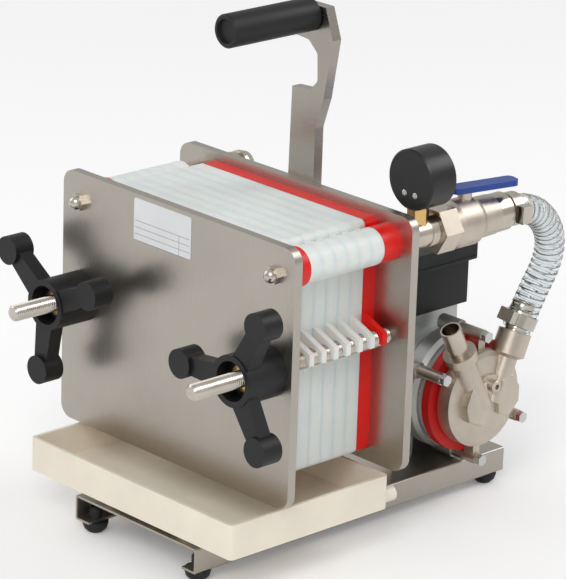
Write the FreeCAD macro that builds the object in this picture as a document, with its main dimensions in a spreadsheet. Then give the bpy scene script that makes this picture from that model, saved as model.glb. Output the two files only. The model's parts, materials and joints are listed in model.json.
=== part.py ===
import FreeCAD, Part
import math
import os
import Sketcher
from FreeCAD import Rotation, Vector

# Plate filter press: a stack of plastic filter plates squeezed between two steel plates
# on two tie rods, fed by a motor pump on the same base frame.
# Millimetres, +Z up, +Y to the back. The origin is on the floor, midway between the four feet.

doc = FreeCAD.newDocument("filter_press")

# ---------------------------------------------------------------- driving dimensions
SIZES = {
    # base frame, a lipped channel of folded sheet, and its rubber feet
    "base_width": 150, "base_length": 360, "base_height": 22, "base_sheet": 2, "base_lip": 17,
    "foot_height": 10, "foot_radius": 11, "foot_side": 64, "foot_inset": 12.5,
    "foot_plug_radius": 5.3, "foot_plug_height": 12,
    # pressure plates
    "plate_width": 280, "plate_height": 219, "plate_thickness": 8, "plate_corner": 12,
    "plate_lift": 43.5, "press_front": 142.5,
    # drip tray
    "tray_width": 250, "tray_length": 175, "tray_height": 29.5, "tray_wall": 3, "tray_lift": 9,
    "tray_front": 188, "tray_corner": 4, "runner_width": 8, "runner_spacing": 90,
    "spout_radius": 6.5, "spout_bore": 4.5, "spout_length": 15, "spout_side": 114,
    # filter plates
    "filter_width": 200, "filter_height": 202, "filter_lift": 53, "filter_pitch": 13.6,
    "filter_corner": 5, "ear_lead": 6.4, "ear_radius": 15.6, "ear_clearance": 0.4,
    "neck_height": 23.4, "neck_overlap": 6, "duct_radius": 8.5,
    "duct_spacing": 228, "duct_drop": 17, "ring_radius": 16.4, "ring_length": 19,
    "ring_clearance": 0.1,
    "rear_thickness": 14,
    # hooks that hang the filter plates on the tie rods
    "hook_thickness": 5, "hook_top": 176, "hook_tip": 165, "hook_end": 155, "hook_leg": 4,
    "hook_clearance": 0.4, "hook_root": 149,
    # tie rods and their nuts
    "rod_spacing": 228, "rod_height": 157, "rod_radius": 7, "rod_reach_left": 75,
    "rod_reach_right": 83, "rod_tip": 1.5, "rod_hole_clearance": 0.5, "rear_nut_across": 22,
    "rear_nut_length": 11,
    "dome_radius": 6.2, "dome_nut_across": 13, "dome_nut_length": 5, "dome_spacing": 236,
    # three-armed hand nuts
    "hub_radius": 21.5, "hub_length": 41, "hub_recess": 14, "hub_bore": 16.5,
    "insert_radius": 11, "insert_proud": 3, "arm_reach": 59, "arm_end_radius": 12.2,
    "arm_end_length": 19, "arm_width": 14, "arm_root": 22, "arm_thickness": 13,
    "arm_back": 24, "left_turn": 23, "right_turn": 62, "thread_clearance": 0.06,
    # carrying handle
    "handle_thickness": 9.5, "handle_width": 31.5, "handle_foot": 70, "handle_top": 149,
    "grip_radius": 14, "grip_length": 94, "grip_height": 140.5, "grip_side": 6,
    "grip_pin_radius": 5, "grip_recess": 3,
    # bracket that carries the back plate
    "bracket_width": 120, "bracket_height": 130, "bracket_depth": 62, "bracket_sheet": 4,
    # outlet behind the left duct
    "outlet_hex_across": 34, "outlet_hex_length": 14, "outlet_tail_radius": 13,
    "outlet_tail_length": 29, "outlet_bore": 8,
    # inlet line behind the right duct
    "pipe_radius": 12.3, "pipe_length": 46, "pipe_bore": 8.5, "union_across": 36,
    "union_length": 20, "valve_radius": 20.5, "valve_length": 50, "valve_hex_across": 35,
    "tail_collar_radius": 16.5, "tail_collar_length": 15, "tail_radius": 9.8,
    "tail_insert": 26, "adaptor_across": 16, "adaptor_length": 14, "adaptor_offset": 24,
    "gauge_radius": 25.5, "gauge_depth": 27, "gauge_bezel": 2, "dial_recess": 4,
    "gauge_lift": 47.5, "dial_thickness": 1, "stem_radius": 6, "stem_height": 8, "lever_lift": 26,
    "lever_width": 15, "lever_thickness": 5, "lever_length": 50, "lever_tail": 14,
    "lever_rest": 12,
    # hose
    "hose_radius": 13, "hose_gap": 1.5, "clamp_thickness": 1.6, "clamp_width": 11, "clamp_inset": 4,
    "clamp_housing_length": 15, "clamp_housing_depth": 8,
    # motor
    "motor_back": 128.5, "shaft_height": 63, "flange_radius": 53.5, "flange_side": 65,
    "flange_thickness": 22, "motor_radius": 50, "motor_length": 110, "fan_radius": 52,
    "fan_length": 42, "motor_foot_width": 26, "motor_foot_length": 100,
    "motor_foot_spacing": 76, "motor_foot_thickness": 9, "box_width": 85, "box_depth": 85,
    "box_height": 40, "box_side": 40, "box_lift": 63, "lid_height": 16, "lid_overhang": 5,
    "seat_width": 56,
    # pump
    "gasket_radius": 50.5, "gasket_thickness": 8, "spigot_length": 6, "pump_radius": 42.5, "pump_side": 73,
    "pump_depth": 16, "boss_radius": 23.5, "boss_depth": 7, "port_side": 97,
    "port_radius": 10.5, "collar_slope": 3, "left_lean": 28, "right_lean": 23, "right_offset": 9.5,
    "left_offset": 7, "left_port_length": 50, "right_port_length": 40,
    "port_collar_radius": 14.5, "left_collar_length": 8, "right_collar_length": 20,
    "nipple_radius": 9, "nipple_bore": 7.6, "nipple_length": 26,
    # bolts that hold the pump to the motor
    "bolt_circle": 56, "ear_boss_radius": 6.8, "lug_radius": 5.2, "lug_length": 27,
    "web_width": 8, "web_depth": 11, "bolt_across": 9, "bolt_head": 5, "washer_radius": 5,
    "washer_thickness": 1,
}

sheet = doc.addObject("Spreadsheet::Sheet", "sizes")
for row, (alias, amount) in enumerate(SIZES.items(), 1):
    sheet.set(f"A{row}", alias)
    sheet.set(f"B{row}", str(amount))
    sheet.setAlias(f"B{row}", alias)
doc.recompute()


def number(expression):
    """The value of an expression over the sheet."""
    return float(sheet.evalExpression(str(expression)))


def S(text):
    """An expression in which every name of the sheet gets its prefix."""
    words = []
    word = ""
    for sign in str(text) + " ":
        if sign.isalnum() or sign == "_":
            word += sign
            continue
        words.append(f"sizes.{word}" if word in SIZES else word)
        words.append(sign)
        word = ""
    return "".join(words).strip()


# ---------------------------------------------------------------- levels shared by pieces
FLOOR_TOP = "(foot_height + base_height)"
FRONT_FACE = "(-press_front)"
STACK_FRONT = "(-press_front + plate_thickness)"
EARS_FRONT = f"({STACK_FRONT} + ring_length)"
BACK_FACE = f"({EARS_FRONT} + 6 * filter_pitch + ear_lead + rear_thickness)"
BACK_REAR = f"({BACK_FACE} + plate_thickness)"
ROD_Z = f"({FLOOR_TOP} + rod_height)"
DUCT_Z = f"({FLOOR_TOP} + filter_lift + filter_height - duct_drop)"
SHAFT_Z = f"({FLOOR_TOP} + shaft_height)"
FILTER_COUNT = 6

NODES = {}
ALONG_X = (Vector(0, 1, 0), "90")
ALONG_Y = (Vector(1, 0, 0), "-90")


def place(thing, at, turn=None):
    """Binds a piece's place, and turns it about one axis."""
    if turn:
        thing.Placement.Rotation = Rotation(turn[0], number(S(turn[1])))
        thing.setExpression("Placement.Rotation.Angle", S(turn[1]))
    for letter, expression in zip("xyz", at):
        thing.setExpression(f"Placement.Base.{letter}", S(expression))
    return thing


def block(name, size, at):
    thing = doc.addObject("Part::Box", name)
    for side, expression in zip(("Length", "Width", "Height"), size):
        thing.setExpression(side, S(expression))
    return place(thing, at)


def rod(name, radius, length, at, turn=None):
    thing = doc.addObject("Part::Cylinder", name)
    thing.setExpression("Radius", S(radius))
    thing.setExpression("Height", S(length))
    return place(thing, at, turn)


def hexagon(name, across, length, at, turn=None):
    thing = doc.addObject("Part::Prism", name)
    thing.Polygon = 6
    thing.setExpression("Circumradius", S(f"{across} / 2 / cos(30)"))
    thing.setExpression("Height", S(length))
    return place(thing, at, turn)


def fuse(name, *parts):
    thing = doc.addObject("Part::MultiFuse", name)
    thing.Shapes = list(parts)
    return thing


def cut(name, base, *tools):
    thing = doc.addObject("Part::Cut", name)
    thing.Base = base
    thing.Tool = tools[0] if len(tools) == 1 else fuse(name + "_tools", *tools)
    return thing


def outline_sketch(body, plane, outline, holes=()):
    """A closed outline of straight edges, every corner bound to the sheet, with round holes."""
    sketch = body.newObject("Sketcher::SketchObject", body.Name + "_outline")
    support = next(one for one in body.Origin.OriginFeatures if one.Role == plane)
    sketch.AttachmentSupport = [(support, "")]
    sketch.MapMode = "FlatFace"
    corners = [(number(S(across)), number(S(up))) for across, up in outline]
    count = len(corners)
    for index, corner in enumerate(corners):
        following = corners[(index + 1) % count]
        sketch.addGeometry(Part.LineSegment(Vector(*corner, 0), Vector(*following, 0)))
    for index in range(count):
        sketch.addConstraint(Sketcher.Constraint("Coincident", index, 2, (index + 1) % count, 1))
    for index, corner in enumerate(outline):
        bind_point(sketch, index, 1, corner)
    for across, up, radius in holes:
        centre = Vector(number(S(across)), number(S(up)), 0)
        circle = sketch.addGeometry(Part.Circle(centre, Vector(0, 0, 1), number(S(radius))))
        bind_point(sketch, circle, 3, (across, up))
        limit = sketch.addConstraint(Sketcher.Constraint("Radius", circle, number(S(radius))))
        sketch.setExpression(f"Constraints[{limit}]", S(radius))
    return sketch


def bind_point(sketch, geometry, point, place_of_point):
    for kind, expression in zip(("DistanceX", "DistanceY"), place_of_point):
        value = number(S(expression))
        limit = sketch.addConstraint(Sketcher.Constraint(kind, -1, 1, geometry, point, value))
        sketch.setExpression(f"Constraints[{limit}]", S(expression))


def slab(name, plane, outline, depth, at, holes=(), rounds=(), turn=None, backwards=True):
    """A padded outline. rounds gives corner numbers and the radius that rounds them."""
    body = doc.addObject("PartDesign::Body", name)
    sketch = outline_sketch(body, plane, outline, holes)
    pad = body.newObject("PartDesign::Pad", name + "_pad")
    pad.Profile = sketch
    pad.setExpression("Length", S(depth))
    pad.Reversed = backwards
    doc.recompute()
    kept = {"XZ_Plane": (0, 2), "XY_Plane": (0, 1), "YZ_Plane": (1, 2)}[plane]
    for corner_numbers, radius in rounds:
        base = body.Tip
        wanted = [(number(S(outline[one][0])), number(S(outline[one][1]))) for one in corner_numbers]
        picked = []
        for edge_number, edge in enumerate(base.Shape.Edges, 1):
            ends = [(vertex.Point[kept[0]], vertex.Point[kept[1]]) for vertex in edge.Vertexes]
            for spot in wanted:
                if len(ends) == 2 and all(math.dist(end, spot) < 0.001 for end in ends):
                    picked.append(f"Edge{edge_number}")
        fillet = body.newObject("PartDesign::Fillet", name + "_round")
        fillet.Base = (base, picked)
        fillet.setExpression("Radius", S(radius))
        doc.recompute()
    return place(body, at, turn)


def turned(name, profile, at, turn=None):
    """A profile of radius and height corners, revolved about its own upright axis."""
    body = doc.addObject("PartDesign::Body", name)
    sketch = outline_sketch(body, "XZ_Plane", profile)
    spin = body.newObject("PartDesign::Revolution", name + "_spin")
    spin.Profile = sketch
    spin.ReferenceAxis = (sketch, ["V_Axis"])
    spin.Angle = 360
    return place(body, at, turn)


def node(name, thing):
    thing.Label = name
    NODES[name] = thing
    return thing


def rectangle(left, right, low, high):
    return [(left, low), (right, low), (right, high), (left, high)]


# ---------------------------------------------------------------- base frame and feet
LOW = "foot_height"
base_outline = [
    ("-base_width / 2", LOW), ("-base_width / 2 + base_lip", LOW),
    ("-base_width / 2 + base_lip", f"{LOW} + base_sheet"),
    ("-base_width / 2 + base_sheet", f"{LOW} + base_sheet"),
    ("-base_width / 2 + base_sheet", f"{LOW} + base_height - base_sheet"),
    ("base_width / 2 - base_sheet", f"{LOW} + base_height - base_sheet"),
    ("base_width / 2 - base_sheet", f"{LOW} + base_sheet"),
    ("base_width / 2 - base_lip", f"{LOW} + base_sheet"),
    ("base_width / 2 - base_lip", LOW), ("base_width / 2", LOW),
    ("base_width / 2", f"{LOW} + base_height"), ("-base_width / 2", f"{LOW} + base_height"),
]
base_channel = slab("base", "XZ_Plane", base_outline, "base_length",
                    ("0", "-base_length / 2", "0"), rounds=[((10, 11, 0, 9), "base_sheet")])
plug_holes = [rod(f"plug_hole_{side + 1}_{end + 1}", "foot_plug_radius", "2 * base_sheet",
                  (f"{side} * foot_side", f"{end} * (base_length / 2 - foot_inset)",
                   f"{LOW} - base_sheet / 2"))
              for side in (-1, 1) for end in (-1, 1)]
node("base_frame", cut("base_cut", base_channel, *plug_holes))

# Each foot is a rubber dome under a lip, held by a plug that passes through the lip.
foot_profile = [
    ("0", "0"), ("foot_radius * 0.55", "0"), ("foot_radius * 0.88", "foot_height * 0.35"),
    ("foot_radius", "foot_height * 0.75"), ("foot_radius", "foot_height"),
    ("foot_plug_radius", "foot_height"),
    ("foot_plug_radius", "foot_height + foot_plug_height - 2"),
    ("foot_plug_radius - 1.5", "foot_height + foot_plug_height"),
    ("0", "foot_height + foot_plug_height"),
]
feet = []
for side in (-1, 1):
    for end in (-1, 1):
        spot = (f"{side} * foot_side", f"{end} * (base_length / 2 - foot_inset)", "0")
        feet.append(turned(f"foot_{len(feet)}", foot_profile, spot))
node("feet", fuse("all_feet", *feet))

# ---------------------------------------------------------------- drip tray
TRAY_Z = f"({FLOOR_TOP} + tray_lift)"
tray_outer = slab("tray_outer", "XY_Plane",
                  rectangle("-tray_width / 2", "tray_width / 2", "0", "tray_length"),
                  "tray_height", ("0", "-tray_front", TRAY_Z),
                  rounds=[((0, 1, 2, 3), "tray_corner")], backwards=False)
tray_inner = slab("tray_inner", "XY_Plane",
                  rectangle("-tray_width / 2 + tray_wall", "tray_width / 2 - tray_wall",
                            "tray_wall", "tray_length - tray_wall"),
                  "tray_height", ("0", "-tray_front", f"{TRAY_Z} + tray_wall"),
                  rounds=[((0, 1, 2, 3), "tray_corner - tray_wall")], backwards=False)
spout_at = ("spout_side", "-tray_front + tray_length - tray_wall / 2",
            f"{TRAY_Z} + spout_radius")
tray_spout = rod("tray_spout", "spout_radius", "spout_length + tray_wall / 2", spout_at, ALONG_Y)
tray_bore = rod("tray_bore", "spout_bore", "spout_length + 3 * tray_wall",
                ("spout_side", "-tray_front + tray_length - 2 * tray_wall",
                 f"{TRAY_Z} + spout_radius + 1"), ALONG_Y)
runners = [
    block(f"tray_runner_{side}", ("runner_width", "tray_length - 40", "tray_lift"),
          (f"{side} * runner_spacing / 2 - runner_width / 2", "-tray_front + 20", FLOOR_TOP))
    for side in (-1, 1)
]
tray_shell = fuse("tray_shell", tray_outer, tray_spout, *runners)
node("drip_tray", cut("tray", tray_shell, tray_inner, tray_bore))

# ---------------------------------------------------------------- pressure plates
plate_outline = rectangle("-plate_width / 2", "plate_width / 2",
                          f"{FLOOR_TOP} + plate_lift", f"{FLOOR_TOP} + plate_lift + plate_height")
rod_holes = [(f"{side} * rod_spacing / 2", ROD_Z, "rod_radius + rod_hole_clearance")
             for side in (-1, 1)]
node("front_plate", slab("front_steel", "XZ_Plane", plate_outline, "plate_thickness",
                         ("0", FRONT_FACE, "0"), holes=rod_holes,
                         rounds=[((0, 1, 2, 3), "plate_corner")]))
duct_holes = [(f"{side} * duct_spacing / 2", DUCT_Z, "pipe_radius") for side in (-1, 1)]
tight_holes = [(f"{side} * rod_spacing / 2", ROD_Z, "rod_radius") for side in (-1, 1)]
node("back_plate", slab("back_steel", "XZ_Plane", plate_outline, "plate_thickness",
                        ("0", BACK_FACE, "0"), holes=tight_holes + duct_holes,
                        rounds=[((0, 1, 2, 3), "plate_corner")]))
domes = []
for side in (-1, 1):
    spot = (f"{side} * dome_spacing / 2", FRONT_FACE, DUCT_Z)
    nut = hexagon(f"dome_nut_{side}", "dome_nut_across", "dome_nut_length", spot,
                  (Vector(1, 0, 0), "90"))
    cap = doc.addObject("Part::Sphere", f"dome_cap_{side}")
    cap.setExpression("Radius", S("dome_radius"))
    place(cap, (spot[0], f"{FRONT_FACE} - dome_nut_length", spot[2]))
    trim = block(f"dome_trim_{side}", ("4 * dome_radius", "4 * dome_radius", "4 * dome_radius"),
                 (f"{spot[0]} - 2 * dome_radius", f"{FRONT_FACE} - dome_nut_length",
                  f"{spot[2]} - 2 * dome_radius"))
    domes.append(fuse(f"dome_{side}", nut, cut(f"dome_half_{side}", cap, trim)))
node("acorn_nuts", fuse("domes", *domes))

# ---------------------------------------------------------------- bracket behind the back plate
bracket_outline = [
    ("0", "0"), ("bracket_depth", "0"), ("bracket_depth", "bracket_sheet"),
    ("bracket_sheet", "bracket_height"), ("0", "bracket_height"),
]
bracket_solid = slab("bracket_solid", "YZ_Plane", bracket_outline, "bracket_width",
                     ("-bracket_width / 2", BACK_REAR, FLOOR_TOP), backwards=False)
bracket_room = block("bracket_room",
                     ("bracket_width - 2 * bracket_sheet", "2 * bracket_depth",
                      "2 * bracket_height"),
                     ("-bracket_width / 2 + bracket_sheet", f"{BACK_REAR} + bracket_sheet",
                      f"{FLOOR_TOP} + bracket_sheet"))
node("back_bracket", cut("bracket", bracket_solid, bracket_room))

# ---------------------------------------------------------------- tie rods
for side, word in ((-1, "left"), (1, "right")):
    reach = f"rod_reach_{word}"
    length = f"({reach} + ({BACK_REAR} - {FRONT_FACE}) + rear_nut_length + 4)"
    profile = [("0", "0"), ("rod_radius - rod_tip", "0"), ("rod_radius", "rod_tip"),
               ("rod_radius", length), ("0", length)]
    node(f"tie_rod_{word}",
         turned(f"rod_{word}", profile,
                (f"{side} * rod_spacing / 2", f"{FRONT_FACE} - {reach}", ROD_Z), ALONG_Y))
rear_nuts = []
for side in (-1, 1):
    spot = (f"{side} * rod_spacing / 2", BACK_REAR, ROD_Z)
    nut = hexagon(f"rear_nut_{side}", "rear_nut_across", "rear_nut_length", spot, ALONG_Y)
    hole = rod(f"rear_nut_hole_{side}", "rod_radius", "rear_nut_length", spot, ALONG_Y)
    rear_nuts.append(cut(f"rear_nut_cut_{side}", nut, hole))
node("rod_nuts", fuse("nuts_behind", *rear_nuts))

# ---------------------------------------------------------------- hand nuts
for side, word in ((-1, "left"), (1, "right")):
    spot = (f"{side} * rod_spacing / 2", FRONT_FACE, ROD_Z)
    away = (Vector(1, 0, 0), "90")
    hub = rod(f"hub_{word}", "hub_radius", "hub_length", spot, away)
    arms = [hub]
    for number_of_arm in range(3):
        angle = f"({word}_turn + {120 * number_of_arm})"
        reach_x = f"{spot[0]} + arm_reach * cos({angle})"
        reach_z = f"{ROD_Z} + arm_reach * sin({angle})"
        end_y = f"{FRONT_FACE} - arm_back"
        arms.append(rod(f"arm_end_{word}_{number_of_arm}", "arm_end_radius", "arm_end_length",
                        (reach_x, end_y, reach_z), away))
        arm_outline = [("0", "-arm_root / 2"), ("arm_reach", "-arm_width / 2"),
                       ("arm_reach", "arm_width / 2"), ("0", "arm_root / 2")]
        arm = slab(f"arm_{word}_{number_of_arm}", "XZ_Plane", arm_outline, "arm_thickness",
                   (spot[0], f"{end_y} - (arm_end_length + arm_thickness) / 2", spot[2]),
                   turn=(Vector(0, -1, 0), angle))
        arms.append(arm)
    recess = rod(f"hub_recess_{word}", "hub_bore", "hub_recess",
                 (spot[0], f"{FRONT_FACE} - hub_length + hub_recess", spot[2]), away)
    seat = rod(f"hub_seat_{word}", "insert_radius", "hub_length", spot, away)
    node(f"hand_nut_{word}", cut(f"hand_nut_cut_{word}", fuse(f"hand_nut_body_{word}", *arms),
                                 recess, seat))
    brass = rod(f"brass_{word}", "insert_radius", "hub_length - hub_recess + insert_proud",
                spot, away)
    thread = rod(f"brass_hole_{word}", "rod_radius + thread_clearance", "hub_length", spot, away)
    node(f"thread_insert_{word}", cut(f"insert_{word}", brass, thread))

# ---------------------------------------------------------------- filter stack
FILTER_LOW = f"({FLOOR_TOP} + filter_lift)"
FILTER_HIGH = f"({FILTER_LOW} + filter_height)"
HALF = "filter_width / 2"
ROD_X = "rod_spacing / 2"
HOOK = [
    (f"{HALF} - 1", f"{FLOOR_TOP} + hook_top"),
    (f"{ROD_X} + rod_radius + hook_clearance + hook_leg", f"{FLOOR_TOP} + hook_tip"),
    (f"{ROD_X} + rod_radius + hook_clearance + hook_leg", f"{FLOOR_TOP} + hook_end"),
    (f"{ROD_X}", f"{FLOOR_TOP} + hook_end"),
    (f"{ROD_X} - rod_radius - hook_clearance", f"{FLOOR_TOP} + hook_end"),
    (f"{HALF} - 1", f"{FLOOR_TOP} + hook_root"),
]


def mirrored(outline):
    return [(f"-({across})", up) for across, up in reversed(outline)]


def filter_piece(name, front, thickness, ears):
    """A filter plate's body with its hooks, and an eared duct where ears gives its length."""
    body = slab(name + "_body", "XZ_Plane",
                rectangle(f"-{HALF}", HALF, FILTER_LOW, FILTER_HIGH), thickness,
                ("0", front, "0"), rounds=[((0, 1), "filter_corner"), ((2, 3), "filter_corner")])
    parts = [body]
    tools = []
    for side in (-1, 1):
        outline = HOOK if side == 1 else mirrored(HOOK)
        if thickness == "filter_pitch":
            tools.append(rod(f"{name}_next_ear_{side + 1}", "ear_radius + ear_clearance",
                             "ear_lead", (f"{side} * duct_spacing / 2",
                                          f"{front} + filter_pitch - ear_lead", DUCT_Z), ALONG_Y))
        parts.append(slab(f"{name}_hook_{side + 1}", "XZ_Plane", outline, "hook_thickness",
                          ("0", front, "0")))
        tools.append(rod(f"{name}_rod_room_{side + 1}", "rod_radius + hook_clearance", thickness,
                         (f"{side} * {ROD_X}", front, ROD_Z), ALONG_Y))
    for side, ear_front, ear_length in ears:
        spot = (f"{side} * duct_spacing / 2", ear_front, DUCT_Z)
        parts.append(rod(f"{name}_ear_{side + 1}", "ear_radius", ear_length, spot, ALONG_Y))
        near = f"min({side} * duct_spacing / 2; {side} * ({HALF} - neck_overlap))"
        parts.append(block(f"{name}_neck_{side + 1}",
                           ("duct_spacing / 2 - filter_width / 2 + neck_overlap",
                            f"{ear_length} - ear_lead", "neck_height"),
                           (near, front, f"{DUCT_Z} - neck_height / 2")))
        tools.append(rod(f"{name}_duct_{side + 1}", "duct_radius", "4 * ring_length",
                         (spot[0], f"{ear_front} - ring_length", spot[2]), ALONG_Y))
    return cut(name + "_cut", fuse(name + "_whole", *parts), *tools)


for position in range(FILTER_COUNT):
    ear_front = f"({EARS_FRONT} + {position} * filter_pitch)"
    ears = [(side, ear_front, "filter_pitch") for side in (-1, 1)]
    node(f"filter_plate_{position + 1}",
         filter_piece(f"filter_{position + 1}", f"({ear_front} + ear_lead)", "filter_pitch", ears))

front_end = filter_piece("front_end", STACK_FRONT, "(ring_length + ear_lead)", [])
ring_rooms = [rod(f"ring_room_{side + 1}", "ring_radius + ring_clearance",
                  "ring_length + ear_lead",
                  (f"{side} * duct_spacing / 2", STACK_FRONT, DUCT_Z), ALONG_Y)
              for side in (-1, 1)]
node("front_end_plate", cut("front_end_notched", front_end, *ring_rooms))
node("end_caps", fuse("caps", *[
    rod(f"cap_{side + 1}", "ring_radius", "ring_length",
        (f"{side} * duct_spacing / 2", STACK_FRONT, DUCT_Z), ALONG_Y) for side in (-1, 1)]))
rear_front = f"({EARS_FRONT} + {FILTER_COUNT} * filter_pitch)"
rear_end = filter_piece("rear_end", f"({rear_front} + ear_lead)", "rear_thickness",
                        [(1, rear_front, "ear_lead + rear_thickness")])
outlet_room = rod("outlet_room", "pipe_radius + ear_clearance", "2 * rear_thickness",
                  ("-duct_spacing / 2", rear_front, DUCT_Z), ALONG_Y)
node("rear_end_plate", cut("rear_end_notched", rear_end, outlet_room))

# ---------------------------------------------------------------- carrying handle
PLATE_TOP = f"({FLOOR_TOP} + plate_lift + plate_height)"
handle_outline = [
    ("-handle_width / 2", "-handle_foot"), ("handle_width / 2", "-handle_foot"),
    ("handle_width / 2", "45.5"), ("handle_width / 2 + 8.5", "72"),
    ("handle_width / 2 + 17", "123"), ("handle_width / 2 + 7.5", "handle_top"),
    ("-8", "handle_top"), ("-12.5", "120"), ("4.9", "118.5"), ("15.4", "109"), ("16.6", "85.5"),
    ("8", "77"), ("-13", "75.5"),
]
node("handle_bar", slab("handle", "XZ_Plane", handle_outline, "handle_thickness",
                        ("0", BACK_REAR, PLATE_TOP),
                        rounds=[((8, 9, 10), "5")]))
GRIP = ("grip_side", f"{BACK_REAR} - grip_length", f"{PLATE_TOP} + grip_height")
grip_body = turned("grip_body", [
    ("0", "grip_recess"), ("grip_radius - 5", "grip_recess"), ("grip_radius - 4", "0"),
    ("grip_radius - 1.5", "0"), ("grip_radius", "1.5"), ("grip_radius", "grip_length - 1.5"),
    ("grip_radius - 1.5", "grip_length"), ("0", "grip_length")], GRIP, ALONG_Y)
node("handle_grip", grip_body)

# ---------------------------------------------------------------- outlet
OUTLET = ("-duct_spacing / 2", DUCT_Z)
outlet_pipe = turned("outlet_pipe", [
    ("outlet_bore", "0"), ("pipe_radius", "0"), ("pipe_radius", f"{BACK_REAR} - {rear_front} + 2"),
    ("outlet_bore", f"{BACK_REAR} - {rear_front} + 2")],
    (OUTLET[0], rear_front, OUTLET[1]), ALONG_Y)
outlet_hex = hexagon("outlet_hex", "outlet_hex_across", "outlet_hex_length",
                     (OUTLET[0], f"{BACK_REAR} + 2", OUTLET[1]), ALONG_Y)
outlet_hole = rod("outlet_hole", "outlet_bore", "outlet_hex_length",
                  (OUTLET[0], f"{BACK_REAR} + 2", OUTLET[1]), ALONG_Y)
node("outlet_pipe", outlet_pipe)
node("outlet_nut", cut("outlet_nut_cut", outlet_hex, outlet_hole))
tail_at = (OUTLET[0], f"{BACK_REAR} + 2 + outlet_hex_length", OUTLET[1])


def barbs(radius, length, count, bore):
    """The profile of a barbed tail: saw teeth that narrow towards the free end."""
    corners = [(bore, "0"), (f"{radius}", "0")]
    for tooth in range(count):
        corners.append((f"{radius}", f"{length} * {tooth + 0.35} / {count}"))
        corners.append((f"{radius} * 0.86", f"{length} * {tooth + 1} / {count}"))
        if tooth < count - 1:
            corners.append((f"{radius}", f"{length} * {tooth + 1} / {count} + 0.1"))
    corners.append((bore, f"{length}"))
    return corners


node("outlet_tail", turned("outlet_barbs",
                           barbs("outlet_tail_radius", "outlet_tail_length", 3, "outlet_bore"),
                           tail_at, ALONG_Y))

# ---------------------------------------------------------------- inlet line
INLET_X = "duct_spacing / 2"
inlet = turned("inlet_tube", [
    ("pipe_bore", "0"), ("pipe_radius", "0"), ("pipe_radius", "pipe_length"),
    ("pipe_bore", "pipe_length")], (INLET_X, BACK_FACE, DUCT_Z), ALONG_Y)
node("inlet_pipe", inlet)
ADAPTOR_Y = f"({BACK_REAR} + adaptor_offset)"
saddle = rod("adaptor_saddle", "pipe_radius", "2 * adaptor_across",
             (INLET_X, f"{ADAPTOR_Y} - adaptor_across", DUCT_Z), ALONG_Y)
adaptor = hexagon("adaptor_hex", "adaptor_across", "gauge_lift - gauge_radius + 1.2",
                  (INLET_X, ADAPTOR_Y, DUCT_Z))
GAUGE_Z = f"({DUCT_Z} + gauge_lift)"
GAUGE_Y = f"({ADAPTOR_Y} - gauge_depth / 2 + 3)"
gauge_room = rod("gauge_room", "gauge_radius", "gauge_depth",
                 (INLET_X, GAUGE_Y, GAUGE_Z), ALONG_Y)
node("gauge_adaptor", cut("adaptor_cut", adaptor, saddle, gauge_room))
node("gauge_case", turned("gauge_cup", [
    ("0", "0"), ("gauge_radius - 1.5", "0"), ("gauge_radius", "1.5"),
    ("gauge_radius", "gauge_depth"), ("gauge_radius - gauge_bezel", "gauge_depth"),
    ("gauge_radius - gauge_bezel", "gauge_depth - dial_recess"),
    ("0", "gauge_depth - dial_recess")], (INLET_X, GAUGE_Y, GAUGE_Z), ALONG_Y))
node("gauge_dial", rod("dial", "gauge_radius - gauge_bezel - 0.1", "dial_thickness",
                       (INLET_X, f"{GAUGE_Y} + gauge_depth - dial_recess", GAUGE_Z), ALONG_Y))

UNION_Y = f"({BACK_FACE} + pipe_length)"
union_hex = hexagon("union_hex", "union_across", "union_length", (INLET_X, UNION_Y, DUCT_Z), ALONG_Y)
union_hole = rod("union_hole", "pipe_bore", "union_length", (INLET_X, UNION_Y, DUCT_Z), ALONG_Y)
node("union_nut", cut("union_cut", union_hex, union_hole))
VALVE_Y = f"({UNION_Y} + union_length)"
valve_profile = [
    ("pipe_bore", "0"), ("valve_radius - 3", "0"), ("valve_radius", "4"),
    ("valve_radius", "valve_length * 0.5"), ("valve_radius - 3", "valve_length * 0.62"),
    ("valve_radius - 3.5", "valve_length"), ("pipe_bore", "valve_length")]
valve_shell = turned("valve_shell", valve_profile, (INLET_X, VALVE_Y, DUCT_Z), ALONG_Y)
STEM_Y = f"({VALVE_Y} + valve_length * 0.4)"
valve_stem = rod("valve_stem", "stem_radius", "lever_lift - pipe_bore - 1.5",
                 (INLET_X, STEM_Y, f"{DUCT_Z} + pipe_bore + 1.5"))
node("valve_body", fuse("valve", valve_shell, valve_stem))
lever_outline = [
    ("-lever_width / 2", "-lever_tail"), ("lever_width / 2", "-lever_tail"),
    ("lever_width / 2", "lever_length"), ("-lever_width / 2", "lever_length")]
node("valve_lever", slab("lever", "XY_Plane", lever_outline, "lever_thickness",
                         (INLET_X, STEM_Y, f"{DUCT_Z} + lever_lift"),
                         rounds=[((0, 1, 2, 3), "5")],
                         turn=(Vector(0, 0, -1), "lever_rest"), backwards=False))
COLLAR_Y = f"({VALVE_Y} + valve_length)"
tail_profile = [
    ("pipe_bore - 1", "0"), ("tail_collar_radius", "0"),
    ("tail_collar_radius", "tail_collar_length"), ("tail_radius", "tail_collar_length"),
    ("tail_radius", "tail_collar_length + tail_insert"),
    ("pipe_bore - 1", "tail_collar_length + tail_insert")]
node("hose_tail_top", turned("tail_top", tail_profile, (INLET_X, COLLAR_Y, DUCT_Z), ALONG_Y))

# ---------------------------------------------------------------- motor
MOTOR_Y = "motor_back"
FLANGE_X = "(flange_side - flange_thickness)"
BOLT_ANGLES = (90, 150, 270, 330)


def on_bolt_circle(side, angle):
    """A spot on the pump's bolt circle, at the given place along the shaft."""
    return (side, f"{MOTOR_Y} + bolt_circle * cos({angle})",
            f"{SHAFT_Z} + bolt_circle * sin({angle})")


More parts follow.
